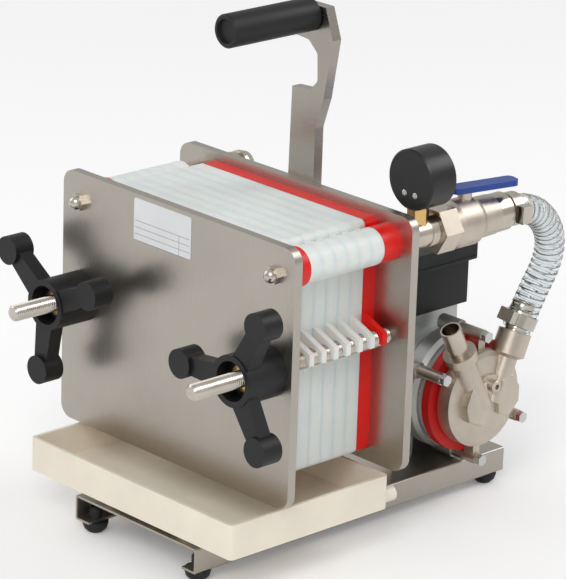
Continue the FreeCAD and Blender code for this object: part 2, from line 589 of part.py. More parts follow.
flange_bell = turned("flange_bell", [
    ("0", "0"), ("flange_radius - 4", "0"), ("flange_radius", "5"),
    ("flange_radius", "flange_thickness - 4"), ("flange_radius - 3", "flange_thickness"),
    ("0", "flange_thickness")], (FLANGE_X, MOTOR_Y, SHAFT_Z), ALONG_X)
flange_ears = [rod(f"flange_ear_{angle}", "ear_boss_radius", "flange_thickness",
                   on_bolt_circle(FLANGE_X, angle), ALONG_X) for angle in BOLT_ANGLES]
node("motor_flange", fuse("flange", flange_bell, *flange_ears))
MOTOR_X = f"({FLANGE_X} - motor_length)"
motor_tube = rod("motor_tube", "motor_radius", "motor_length", (MOTOR_X, MOTOR_Y, SHAFT_Z), ALONG_X)
motor_seat = block("motor_seat", ("box_depth - 14", "seat_width", "box_lift"),
                   ("box_side - box_depth + 7", f"{MOTOR_Y} - seat_width / 2", SHAFT_Z))
motor_feet = []
for side in (-1, 1):
    foot_y = f"{MOTOR_Y} + {side} * motor_foot_spacing / 2 - motor_foot_width / 2"
    motor_feet.append(block(f"motor_foot_{side + 1}",
                            ("motor_foot_length", "motor_foot_width", "motor_foot_thickness"),
                            (f"{MOTOR_X} + 5", foot_y, FLOOR_TOP)))
    leg_y = f"{MOTOR_Y} + {side} * (motor_foot_spacing / 2 - 9) - 4"
    motor_feet.append(block(f"motor_leg_{side + 1}",
                            ("motor_foot_length", "8", "shaft_height - 28"),
                            (f"{MOTOR_X} + 5", leg_y, FLOOR_TOP)))
node("motor_body", fuse("motor", motor_tube, motor_seat, *motor_feet))
node("fan_cover", turned("fan_cup", [
    ("0", "0"), ("fan_radius - 8", "0"), ("fan_radius", "8"), ("fan_radius", "fan_length"),
    ("0", "fan_length")], (f"{MOTOR_X} - fan_length", MOTOR_Y, SHAFT_Z), ALONG_X))
BOX_Z = f"({SHAFT_Z} + box_lift)"
node("terminal_box", block("box_body",
                           ("box_depth - 2 * lid_overhang", "box_width - 2 * lid_overhang",
                            "box_height"),
                           ("box_side - box_depth + lid_overhang",
                            f"{MOTOR_Y} - box_width / 2 + lid_overhang", BOX_Z)))
node("terminal_lid", block("box_lid", ("box_depth", "box_width", "lid_height"),
                           ("box_side - box_depth", f"{MOTOR_Y} - box_width / 2",
                            f"{BOX_Z} + box_height")))

# ---------------------------------------------------------------- pump
GASKET_X = "(flange_side + spigot_length)"
node("pump_spacer", rod("pump_spigot", "gasket_radius - 3", "spigot_length",
                        ("flange_side", MOTOR_Y, SHAFT_Z), ALONG_X))
node("pump_gasket", rod("gasket", "gasket_radius", "gasket_thickness",
                        (GASKET_X, MOTOR_Y, SHAFT_Z), ALONG_X))
PUMP_X = f"({GASKET_X} + gasket_thickness)"
pump_case = turned("pump_case", [
    ("0", "0"), ("pump_radius - 2", "0"), ("pump_radius", "3"), ("pump_radius", "pump_depth"),
    ("pump_radius - 4", "pump_depth + 2"), ("boss_radius", "pump_depth + 4"),
    ("boss_radius", "pump_depth + boss_depth"), ("0", "pump_depth + boss_depth")],
    (PUMP_X, MOTOR_Y, SHAFT_Z), ALONG_X)
LEFT_LEAN = (Vector(1, 0, 0), "left_lean")
RIGHT_LEAN = (Vector(-1, 0, 0), "right_lean")


def along(word, side, start):
    """A spot on a leaning port's axis, start above its foot."""
    lean = f"{word}_lean"
    offset = f"{word}_offset"
    across = f"({MOTOR_Y} + {side} * ({offset} * cos({lean}) + ({start}) * sin({lean})))"
    up = f"({SHAFT_Z} - {offset} * sin({lean}) + ({start}) * cos({lean}))"
    return ("port_side", across, up)


def port(word, radius, side, turn):
    """A leaning port: a tube with a wider collar at its top."""
    collar = f"{word}_port_length + collar_slope"
    top = f"{collar} + {word}_collar_length"
    return turned(f"{word}_port", [
        ("0", "0"), (radius, "0"), (radius, f"{word}_port_length"),
        ("port_collar_radius", collar), ("port_collar_radius", top), ("0", top)],
        along(word, side, "0"), turn)


left_port = port("left", "port_radius", -1, LEFT_LEAN)
right_port = port("right", "port_radius - 1", 1, RIGHT_LEAN)
lugs = []
for angle in BOLT_ANGLES:
    lugs.append(rod(f"lug_{angle}", "lug_radius", "lug_length",
                    on_bolt_circle("flange_side", angle), ALONG_X))
    lugs.append(slab(f"web_{angle}", "YZ_Plane",
                     rectangle("pump_radius - 6", "bolt_circle", "-web_width / 2", "web_width / 2"),
                     "web_depth", (PUMP_X, MOTOR_Y, SHAFT_Z), turn=(Vector(1, 0, 0), str(angle)),
                     backwards=False))
node("pump_head", fuse("pump_whole", pump_case, left_port, right_port, *lugs))
LEFT_TOP = "(left_port_length + collar_slope + left_collar_length)"
nipple_spot = along("left", -1, LEFT_TOP)
node("pump_nipple", turned("nipple", [
    ("nipple_bore", "0"), ("nipple_radius", "0"), ("nipple_radius", "nipple_length"),
    ("nipple_bore", "nipple_length")], nipple_spot, LEFT_LEAN))
RIGHT_TOP = "(right_port_length + collar_slope + right_collar_length)"
tail_spot = along("right", 1, RIGHT_TOP)
node("hose_tail_bottom", turned("tail_bottom", [
    ("pipe_bore - 1", "0"), ("tail_radius", "0"), ("tail_radius", "tail_insert"),
    ("pipe_bore - 1", "tail_insert")], tail_spot, RIGHT_LEAN))
bolts = []
for angle in BOLT_ANGLES:
    seat_x = "(flange_side + lug_length)"
    washer = rod(f"washer_{angle}", "washer_radius", "washer_thickness",
                 on_bolt_circle(seat_x, angle), ALONG_X)
    head = hexagon(f"bolt_head_{angle}", "bolt_across", "bolt_head",
                   on_bolt_circle(f"({seat_x} + washer_thickness)", angle), ALONG_X)
    bolts.append(fuse(f"bolt_{angle}", washer, head))
node("pump_bolts", fuse("bolts", *bolts))

# ---------------------------------------------------------------- hose
doc.recompute()


def sheet_point(at):
    return Vector(*[number(S(one)) for one in at])


hose_start = sheet_point((INLET_X, f"{COLLAR_Y} + tail_collar_length", DUCT_Z))
hose_finish = sheet_point(along("right", 1, f"{RIGHT_TOP} + hose_gap"))
HOSE_ROUTE = [hose_start, Vector(114, 151, 269), Vector(111.5, 181.5, 244),
              Vector(107.5, 188.5, 214), Vector(100, 176, 180.5), hose_finish]


def cord_path(route):
    """Straight runs joined by tangent arcs, each as large as its two runs allow."""
    edges = []
    start = route[0]
    for before, corner, after in zip(route, route[1:], route[2:]):
        into = (corner - before).normalize()
        out = (after - corner).normalize()
        turn = into.getAngle(out)
        shorter = min(corner.distanceToPoint(before), corner.distanceToPoint(after))
        reach = 0.45 * shorter
        radius = reach / math.tan(turn / 2)
        print(f"hose corner: turn {math.degrees(turn):.1f} degrees, radius {radius:.1f}")
        first = corner - into * reach
        last = corner + out * reach
        inward = (out - into).normalize()
        middle = corner + inward * (radius / math.cos(turn / 2) - radius)
        edges.append(Part.LineSegment(start, first).toShape())
        edges.append(Part.Arc(first, middle, last).toShape())
        start = last
    edges.append(Part.LineSegment(start, route[-1]).toShape())
    return Part.Wire(edges)


path = cord_path(HOSE_ROUTE)
section = Part.Wire([Part.makeCircle(number("sizes.hose_radius"), HOSE_ROUTE[0],
                                     HOSE_ROUTE[1] - HOSE_ROUTE[0])])
hose = doc.addObject("Part::Feature", "hose")
hose.Shape = path.makePipeShell([section], True, False)
expected = math.pi * number("sizes.hose_radius") ** 2 * path.Length
print(f"hose: length {path.Length:.1f}, volume {hose.Shape.Volume:.0f}, section x length {expected:.0f}")
node("feed_hose", hose)

# Each clamp is a band round the hose's end, with its screw's housing on the outside.
clamps = []
for word, end, towards, out in (("top", HOSE_ROUTE[0], HOSE_ROUTE[1], Vector(1, 0, 0)),
                                ("bottom", HOSE_ROUTE[-1], HOSE_ROUTE[-2], Vector(0, -1, 0))):
    run = (towards - end).normalize()
    facing = Rotation(run.cross(out), out, run, "ZYX")
    band = doc.addObject("Part::Cylinder", f"clamp_band_{word}")
    band.setExpression("Radius", S("hose_radius + clamp_thickness"))
    gap = doc.addObject("Part::Cylinder", f"clamp_gap_{word}")
    gap.setExpression("Radius", S("hose_radius"))
    housing = doc.addObject("Part::Box", f"clamp_housing_{word}")
    housing.setExpression("Length", S("clamp_housing_length"))
    housing.setExpression("Width", S("clamp_housing_depth"))
    housing.setExpression("Height", S("clamp_width"))
    base = end + run * number("sizes.clamp_inset")
    for thing in (band, gap):
        thing.setExpression("Height", S("clamp_width"))
        thing.Placement = FreeCAD.Placement(base, facing)
    lift = number("sizes.hose_radius + sizes.clamp_thickness / 2")
    across = facing.multVec(Vector(-number("sizes.clamp_housing_length") / 2, lift, 0))
    housing.Placement = FreeCAD.Placement(base + across, facing)
    clamps.append(cut(f"clamp_{word}", fuse(f"clamp_solid_{word}", band, housing), gap))
node("hose_clamps", fuse("clamps", *clamps))

# ---------------------------------------------------------------- checks and export
doc.recompute()
for thing in doc.Objects:
    if "Invalid" in thing.State or "Error" in thing.State:
        raise RuntimeError(f"{thing.Name} failed: {thing.State}")
os.makedirs("parts", exist_ok=True)
for name, thing in NODES.items():
    if thing.Shape.isNull() or not thing.Shape.isValid():
        raise RuntimeError(f"{name} has no valid shape")
    thing.Shape.exportStep(f"parts/{name}.step")
print(len(NODES), "nodes written")
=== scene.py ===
"""Plate filter press: finishes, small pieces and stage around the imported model.

Metres, +Z up, +Y to the back, the origin on the floor midway between the four feet.
"""

import json

import bpy
import numpy as np
from mathutils import Matrix, Vector

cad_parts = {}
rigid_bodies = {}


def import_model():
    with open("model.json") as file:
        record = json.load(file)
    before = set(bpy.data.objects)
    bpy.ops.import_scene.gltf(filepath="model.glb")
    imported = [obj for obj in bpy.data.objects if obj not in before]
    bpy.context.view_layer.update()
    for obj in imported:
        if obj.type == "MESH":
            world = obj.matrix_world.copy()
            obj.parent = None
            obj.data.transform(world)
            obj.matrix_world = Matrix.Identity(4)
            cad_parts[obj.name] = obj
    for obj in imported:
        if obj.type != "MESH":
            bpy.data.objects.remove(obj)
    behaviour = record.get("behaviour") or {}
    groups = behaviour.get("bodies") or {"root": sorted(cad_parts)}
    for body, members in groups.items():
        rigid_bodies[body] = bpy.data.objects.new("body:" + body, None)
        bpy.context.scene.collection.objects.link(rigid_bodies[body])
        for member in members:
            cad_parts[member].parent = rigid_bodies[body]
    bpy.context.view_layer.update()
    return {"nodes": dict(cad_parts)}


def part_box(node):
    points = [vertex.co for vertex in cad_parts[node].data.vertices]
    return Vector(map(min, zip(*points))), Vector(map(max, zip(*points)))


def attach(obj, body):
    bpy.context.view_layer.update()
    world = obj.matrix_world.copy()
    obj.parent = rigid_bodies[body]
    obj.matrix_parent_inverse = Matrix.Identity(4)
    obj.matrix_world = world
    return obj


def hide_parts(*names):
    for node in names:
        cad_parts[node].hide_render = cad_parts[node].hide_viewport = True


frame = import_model()
NODES = frame["nodes"]

bl_info = {
    "name": "Plate Filter Press",
    "version": (1, 0, 0),
    "blender": (4, 5, 0),
    "location": "View3D > Sidebar > Filter Press",
    "description": "Dresses a plate filter press with finishes, threads, hose and small pieces",
    "category": "Object",
}

TAU = 2 * np.pi
MM = 0.001
X, Y, Z = (1, 0, 0), (0, 1, 0), (0, 0, 1)

EVEN = (1, 1, 1)              # a pattern that isn't stretched along any axis
CURVE_STEPS = 48              # points that the curve gives for each of its segments
PATH_POINTS = 341             # points along an evenly spaced path
SHARP_ANGLE = np.radians(35)  # edges sharper than this stay sharp when shaded smooth
BEVEL_ANGLE = np.radians(30)  # edges sharper than this are bevelled


# ---------------------------------------------------------------- places on the frame
def middle(node):
    """The centre of a node's box."""
    low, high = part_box(node)
    return (Vector(low) + Vector(high)) / 2


def low_of(node):
    """The corner of a node's box with the lowest coordinates."""
    return Vector(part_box(node)[0])


def high_of(node):
    """The corner of a node's box with the highest coordinates."""
    return Vector(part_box(node)[1])


# ---------------------------------------------------------------- surfaces
def frame_of(axis):
    """Two unit vectors square to an axis and to each other, as rows with the axis last. The first
    comes from a cross product with Z, or with X where the axis lies close to Z."""
    axis = np.array(axis, float) / np.linalg.norm(axis)
    side = np.cross(Z if abs(axis[2]) < 0.9 else X, axis)
    side /= np.linalg.norm(side)
    return np.array([side, np.cross(axis, side), axis])


def quads(rows, columns, wrap_rows):
    """Faces between each point of a grid and its neighbours in the next row and column. The columns
    close into a ring, and the rows do too when wrap_rows is set."""
    row = np.arange(rows if wrap_rows else rows - 1)
    r, c = np.meshgrid(row, np.arange(columns), indexing="ij")
    r2, c2 = (r + 1) % rows, (c + 1) % columns
    faces = np.stack([r * columns + c, r * columns + c2, r2 * columns + c2, r2 * columns + c], -1)
    return faces.reshape(-1, 4).tolist()


def loft(rings, closed=False):
    """A skin over rings of points: ring i joins ring i + 1. The two ends are capped, or else the
    last ring joins the first when closed is set."""
    rings = np.asarray(rings, float)
    rows, columns = rings.shape[:2]
    faces = quads(rows, columns, closed)
    if not closed:
        faces.append(list(range(columns))[::-1])
        faces.append(list(range((rows - 1) * columns, rows * columns)))
    return rings.reshape(-1, 3), faces


def lathe(profile, origin, axis, steps=48, closed=False):
    """A profile of (radius, height) turned about an axis.

    Point = origin + radius * (cos t * side + sin t * across) + height * axis, t round a turn."""
    side, across, along = frame_of(axis)
    t = np.linspace(0, TAU, steps, endpoint=False)
    circle = np.cos(t)[:, None] * side + np.sin(t)[:, None] * across
    profile = np.asarray(profile, float)
    rings = (np.array(origin, float) + profile[:, 0, None, None] * circle[None]
             + profile[:, 1, None, None] * along)
    return loft(rings, closed)


def prism(outline, origin, side, across, depth):
    """An outline in the plane of side and across, carried by the depth vector."""
    outline = np.asarray(outline, float)
    ring = (np.array(origin, float) + outline[:, :1] * np.array(side, float)
            + outline[:, 1:] * np.array(across, float))
    return loft([ring, ring + np.array(depth, float)])


def rounded(width, height, radius, steps=6):
    """A rectangle about its centre with quarter circles for corners."""
    corners = []
    for quarter, (sx, sy) in enumerate(((1, 1), (-1, 1), (-1, -1), (1, -1))):
        t = np.linspace(0, np.pi / 2, steps) + quarter * np.pi / 2
        corners.append(np.stack([sx * (width / 2 - radius) + radius * np.cos(t),
                                 sy * (height / 2 - radius) + radius * np.sin(t)], -1))
    return np.concatenate(corners)


def tube(path, radius, steps):
    """A round bar along a path. Each ring stands square to the path, and the side vector is
    carried from ring to ring by taking out its part along the new direction."""
    path = np.asarray(path, float)
    sides, across = carried(path)
    t = np.linspace(0, TAU, steps, endpoint=False)
    rings = path[:, None] + radius * (np.cos(t)[None, :, None] * sides[:, None]
                                      + np.sin(t)[None, :, None] * across[:, None])
    return loft(rings)


def spline_points(route):
    """Points along a NURBS curve of order 3 that starts and ends on its first and last control
    point, spaced evenly along its length, and that length."""
    curve = bpy.data.curves.new("Route", "CURVE")
    curve.dimensions = "3D"
    curve.resolution_u = CURVE_STEPS
    line = curve.splines.new("NURBS")
    line.points.add(len(route) - 1)
    for control, spot in zip(line.points, route):
        control.co = (*spot, 1)
    line.order_u = 3
    line.use_endpoint_u = True
    holder = bpy.data.objects.new("Route", curve)
    mesh = bpy.data.meshes.new_from_object(holder)
    path = np.empty(len(mesh.vertices) * 3)
    mesh.vertices.foreach_get("co", path)
    path = path.reshape(-1, 3)
    for store, thing in ((bpy.data.objects, holder), (bpy.data.curves, curve),
                         (bpy.data.meshes, mesh)):
        store.remove(thing)
    run = np.concatenate([[0], np.cumsum(np.linalg.norm(np.diff(path, axis=0), axis=1))])
    even = np.linspace(0, run[-1], PATH_POINTS)
    return np.stack([np.interp(even, run, path[:, axis]) for axis in range(3)], -1), run[-1]


def carried(path):
    """Two vectors square to each spot of a path and to each other, which don't twist about it."""
    along = np.gradient(path, axis=0)
    along /= np.linalg.norm(along, axis=1)[:, None]
    sides = np.empty_like(path)
    sides[0] = frame_of(along[0])[0]
    for index in range(1, len(path)):
        side = sides[index - 1] - along[index] * np.dot(sides[index - 1], along[index])
        sides[index] = side / np.linalg.norm(side)
    return sides, np.cross(along, sides)


def link(thing):
    """Puts an object in the scene."""
    bpy.context.scene.collection.objects.link(thing)


def piece(name, parts, body, material, bevel=0.0, smooth=True, segments=2):
    """One object from several (points, faces) parts, riding on a body. A bevel, given by its
    width, softens the edges without changing the mesh."""
    points = np.concatenate([part[0] for part in parts])
    faces = []
    start = 0
    for part_points, part_faces in parts:
        faces += [[start + corner for corner in face] for face in part_faces]
        start += len(part_points)
    mesh = bpy.data.meshes.new(name)
    mesh.from_pydata(points.tolist(), [], faces)
    mesh.validate()
    mesh.polygons.foreach_set("use_smooth", [smooth] * len(mesh.polygons))
    made = bpy.data.objects.new(name, mesh)
    link(made)
    mesh.materials.append(material)
    if smooth:
        mesh.set_sharp_from_angle(angle=SHARP_ANGLE)
    if bevel:
        edge = made.modifiers.new("Soft edges", "BEVEL")
        edge.width = bevel
        edge.segments = segments
        edge.limit_method = "ANGLE"
        edge.angle_limit = BEVEL_ANGLE
        edge.harden_normals = True
    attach(made, body)
    return made


# ---------------------------------------------------------------- finishes
class Finish:
    """A material with a Principled shader and short ways to add patterns in object space."""

    def __init__(self, name, colour, roughness, metallic=0.0, **sockets):
        self.material = bpy.data.materials.new(name)
        self.material.use_nodes = True
        self.nodes = self.material.node_tree.nodes
        self.links = self.material.node_tree.links
        self.shader = next(node for node in self.nodes if node.type == "BSDF_PRINCIPLED")
        self.set("Base Color", (*colour, 1))
        self.set("Roughness", roughness)
        self.set("Metallic", metallic)
        for socket, value in sockets.items():
            self.set(socket.replace("_", " "), value)
        self.place = self.nodes.new("ShaderNodeTexCoord").outputs["Object"]

    def set(self, socket, value):
        self.shader.inputs[socket].default_value = value

    def pattern(self, scale, stretch, detail, rough):
        """Noise in object space: larger stretch numbers make it finer along that axis."""
        spread = self.nodes.new("ShaderNodeMapping")
        spread.inputs["Scale"].default_value = stretch
        self.links.new(self.place, spread.inputs["Vector"])
        noise = self.nodes.new("ShaderNodeTexNoise")
        noise.inputs["Scale"].default_value = scale
        noise.inputs["Detail"].default_value = detail
        noise.inputs["Roughness"].default_value = rough
        self.links.new(spread.outputs["Vector"], noise.inputs["Vector"])
        return noise.outputs["Fac"]

    def span(self, value, low, high, start=0.3, end=0.7):
        """Maps a pattern onto a range of numbers."""
        spread = self.nodes.new("ShaderNodeMapRange")
        for socket, number in (("From Min", start), ("From Max", end), ("To Min", low),
                               ("To Max", high)):
            spread.inputs[socket].default_value = number
        self.links.new(value, spread.inputs["Value"])
        return spread.outputs["Result"]

    def roughness(self, value, low, high):
        """Makes the gloss uneven by a pattern."""
        self.links.new(self.span(value, low, high), self.shader.inputs["Roughness"])
        return self

    def tint(self, value, first, second):
        """Blends two colours by a pattern."""
        ramp = self.nodes.new("ShaderNodeValToRGB")
        for element, position, colour in zip(ramp.color_ramp.elements, (0.3, 0.7), (first, second)):
            element.position = position
            element.color = (*colour, 1)
        self.links.new(value, ramp.inputs["Fac"])
        self.links.new(ramp.outputs["Color"], self.shader.inputs["Base Color"])
        return self

    def bump(self, value, strength, distance):
        """Adds relief by a pattern, on top of any relief that is there."""
        relief = self.nodes.new("ShaderNodeBump")
        relief.inputs["Strength"].default_value = strength
        relief.inputs["Distance"].default_value = distance
        self.links.new(value, relief.inputs["Height"])
        if self.shader.inputs["Normal"].links:
            self.links.new(self.shader.inputs["Normal"].links[0].from_socket,
                           relief.inputs["Normal"])
        self.links.new(relief.outputs["Normal"], self.shader.inputs["Normal"])
        return self


def shade(colour, factor):
    """A colour made darker or lighter."""
    return tuple(min(1.0, channel * factor) for channel in colour)


FINISHES = {}


def brushed_steel(name, colour, grain, roughness=0.3):
    """Satin stainless: fine scratches, drawn by noise that is squeezed along the axes with large
    numbers in grain and so runs along the others."""
    finish = Finish(name, colour, roughness, 1.0)
    lines = finish.pattern(60, grain, 6, 0.7)
    cloud = finish.pattern(9, EVEN, 3, 0.5)
    finish.roughness(lines, roughness - 0.05, roughness + 0.1)
    finish.tint(cloud, shade(colour, 0.94), shade(colour, 1.05))
    finish.bump(lines, 0.12, 0.0002)
    return finish.material


def plated(name, colour, roughness, casting):
    """Bare, plated or cast metal: smooth where turned, finely pitted where cast."""
    finish = Finish(name, colour, roughness, 1.0)
    pits = finish.pattern(900 if casting else 260, EVEN, 5, 0.6)
    cloud = finish.pattern(35, EVEN, 3, 0.5)
    finish.roughness(cloud, roughness - 0.05, roughness + 0.08)
    finish.tint(cloud, shade(colour, 0.88), shade(colour, 1.08))
    finish.bump(pits, 0.25 if casting else 0.05, 0.0003)
    return finish.material


def moulded(name, colour, roughness, grain=0.12, **sockets):
    """Moulded plastic or rubber: a fine grain and slightly uneven gloss."""
    finish = Finish(name, colour, roughness, 0.0, **sockets)
    grains = finish.pattern(1400, EVEN, 3, 0.6)
    cloud = finish.pattern(22, EVEN, 3, 0.5)
    finish.roughness(cloud, roughness - 0.06, roughness + 0.06)
    finish.tint(cloud, shade(colour, 0.95), shade(colour, 1.04))
    finish.bump(grains, grain, 0.0002)
    return finish.material


def clear_hose(name, colour):
    """Clear plastic: light passes through, with a faint tint and slightly uneven gloss."""
    finish = Finish(name, colour, 0.05, 0.0, Transmission_Weight=1.0, IOR=1.38)
    cloud = finish.pattern(40, EVEN, 3, 0.5)
    finish.roughness(cloud, 0.02, 0.12)
    finish.bump(finish.pattern(120, EVEN, 2, 0.5), 0.08, 0.0004)
    return finish.material


def make_finishes(colours):
    """Every finish of the press, by a plain name, kept in FINISHES."""
    add = FINISHES.__setitem__
    add("steel_plate", brushed_steel("Brushed plate", colours.steel, (30, 1, 1.2)))
    add("steel_base", brushed_steel("Brushed base", colours.steel, (30, 1, 30), 0.34))
    add("steel_bar", brushed_steel("Brushed bar", shade(colours.steel, 0.8), (2, 2, 30), 0.2))
    add("steel_bright", plated("Bright steel", shade(colours.steel, 1.2), 0.22, False))
    add("steel_thread", plated("Threaded steel", shade(colours.steel, 1.25), 0.25, False))
    add("nickel", plated("Nickel plate", colours.nickel, 0.2, False))
    add("nickel_cast", plated("Cast nickel", colours.nickel, 0.36, True))
    add("brass", plated("Brass", colours.brass, 0.22, False))
    add("alloy", plated("Cast alloy", colours.alloy, 0.45, True))
    add("zinc", plated("Zinc screws", shade(colours.alloy, 1.15), 0.25, False))
    add("white", moulded("White plastic", colours.white, 0.42, 0.05, Subsurface_Weight=0.35,
                         Subsurface_Scale=0.02))
    add("red", moulded("Red plastic", colours.red, 0.35, 0.05, Subsurface_Weight=0.1,
                       Subsurface_Scale=0.005))
    add("cream", moulded("Cream plastic", colours.cream, 0.45, 0.08, Subsurface_Weight=0.1,
                         Subsurface_Scale=0.005))
    add("black", moulded("Black plastic", colours.black, 0.45, 0.2, Specular_IOR_Level=0.35))
    add("rubber", moulded("Black rubber", shade(colours.black, 0.8), 0.6, 0.2))
    add("black_paint", moulded("Black paint", shade(colours.black, 0.8), 0.35, 0.1))
    add("blue", moulded("Blue dip", colours.blue, 0.35, 0.1))
    add("dial", moulded("Dial white", (0.9, 0.9, 0.88), 0.5, 0.0))
    add("clear", clear_hose("Clear hose", colours.hose))
    add("wire", plated("Spring wire", colours.steel, 0.3, False))
    add("label", moulded("Plate blank", (0.74, 0.75, 0.76), 0.35, 0.02))
    add("label_ink", moulded("Ruled lines", (0.12, 0.12, 0.13), 0.5, 0.0))
    add("seal_red", moulded("Red seal", shade(colours.red, 0.7), 0.5, 0.1))


NODE_FINISHES = {
    "steel_plate": ("front_plate", "back_plate"),
    "steel_base": ("base_frame", "back_bracket"),
    "steel_bar": ("handle_bar",),
    "steel_bright": ("tie_rod_left", "tie_rod_right", "rod_nuts", "acorn_nuts", "hose_clamps"),
    "nickel": ("outlet_pipe", "outlet_nut", "outlet_tail", "inlet_pipe", "union_nut",
               "hose_tail_top", "hose_tail_bottom", "pump_nipple"),
    "nickel_cast": ("valve_body", "pump_head"),
    "brass": ("gauge_adaptor", "thread_insert_left", "thread_insert_right"),
    "alloy": ("motor_flange", "motor_body", "pump_spacer"),
    "zinc": ("pump_bolts",),
    "white": ("front_end_plate", *(f"filter_plate_{number}" for number in range(1, 7))),
    "red": ("rear_end_plate", "end_caps"),
    "cream": ("drip_tray",),
    "black": ("hand_nut_left", "hand_nut_right", "handle_grip", "terminal_box", "terminal_lid"),
    "rubber": ("feet",),
    "black_paint": ("gauge_case", "fan_cover"),
    "blue": ("valve_lever",),
    "dial": ("gauge_dial",),
    "seal_red": ("pump_gasket",),
}


# ---------------------------------------------------------------- settings
def colour_setting(name, description, default):
    return bpy.props.FloatVectorProperty(name=name, description=description, default=default,
                                         subtype="COLOR", size=3, min=0, max=1)


class PressColours(bpy.types.PropertyGroup):
    steel: colour_setting("Steel", "Brushed stainless sheet and plate", (0.50, 0.46, 0.41))
    nickel: colour_setting("Nickel", "Plated pipe fittings and pump", (0.62, 0.55, 0.47))
    brass: colour_setting("Brass", "Gauge adaptor and nut inserts", (0.75, 0.50, 0.20))
    alloy: colour_setting("Alloy", "Cast motor parts", (0.56, 0.57, 0.56))
    white: colour_setting("White", "Filter plates", (0.87, 0.85, 0.82))
    red: colour_setting("Red", "End plate and caps", (0.80, 0.006, 0.004))
    cream: colour_setting("Cream", "Drip tray", (0.90, 0.83, 0.70))
    black: colour_setting("Black", "Hand nuts, grip and housings", (0.011, 0.0115, 0.013))
    blue: colour_setting("Blue", "Valve lever", (0.009, 0.054, 0.305))
    hose: colour_setting("Hose", "Clear feed hose", (0.93, 0.97, 0.99))


class PressStage(bpy.types.PropertyGroup):
    camera: bpy.props.FloatVectorProperty(
        name="Camera", description="Place of the camera", subtype="TRANSLATION", unit="LENGTH",
        size=3, default=(2.02349, -1.96054, 1.16772))
    azimuth: bpy.props.FloatProperty(
        name="Azimuth", description="Turn of the camera round the press", subtype="ANGLE",
        default=np.radians(46.21))
    elevation: bpy.props.FloatProperty(
        name="Elevation", description="Height of the camera above level", subtype="ANGLE",
        default=np.radians(19.06))
    roll: bpy.props.FloatProperty(
        name="Roll", description="Tilt of the camera about its view", subtype="ANGLE",
        default=np.radians(1.9))
    lens: bpy.props.FloatProperty(
        name="Lens", description="Focal length in millimetres", default=221.42, min=1)
    floor: colour_setting("Floor", "Plain pale floor", (0.95, 0.95, 0.95))
    sky: bpy.props.FloatProperty(
        name="Sky", description="Strength of the even light from all round", default=0.55, min=0)


class PRESS_OT_finishes(bpy.types.Operator):
    """Make the finishes and give one to every CAD node"""
    bl_idname = "press.finishes"
    bl_label = "Finishes"

    def execute(self, context):
        make_finishes(context.scene.press_colours)
        for finish, nodes in NODE_FINISHES.items():
            for node in nodes:
                for spot in NODES[node].material_slots:
                    spot.material = FINISHES[finish]
        return {"FINISHED"}


FLOOR_HALF = 6.0           # half the width of the floor
FLOOR_GLOW = 0.14          # light that the floor adds for the camera alone
LAMP_TARGET = (0, 0, 0.2)  # the spot that the lamps face
# Name, place, width and power in watts of each area lamp.
LAMPS = (("Key", (1.6, -2.4, 2.4), 1.6, 42), ("Fill", (-2.6, -1.2, 1.6), 2.0, 16),
         ("Back", (1.2, 2.4, 2.2), 1.6, 24))


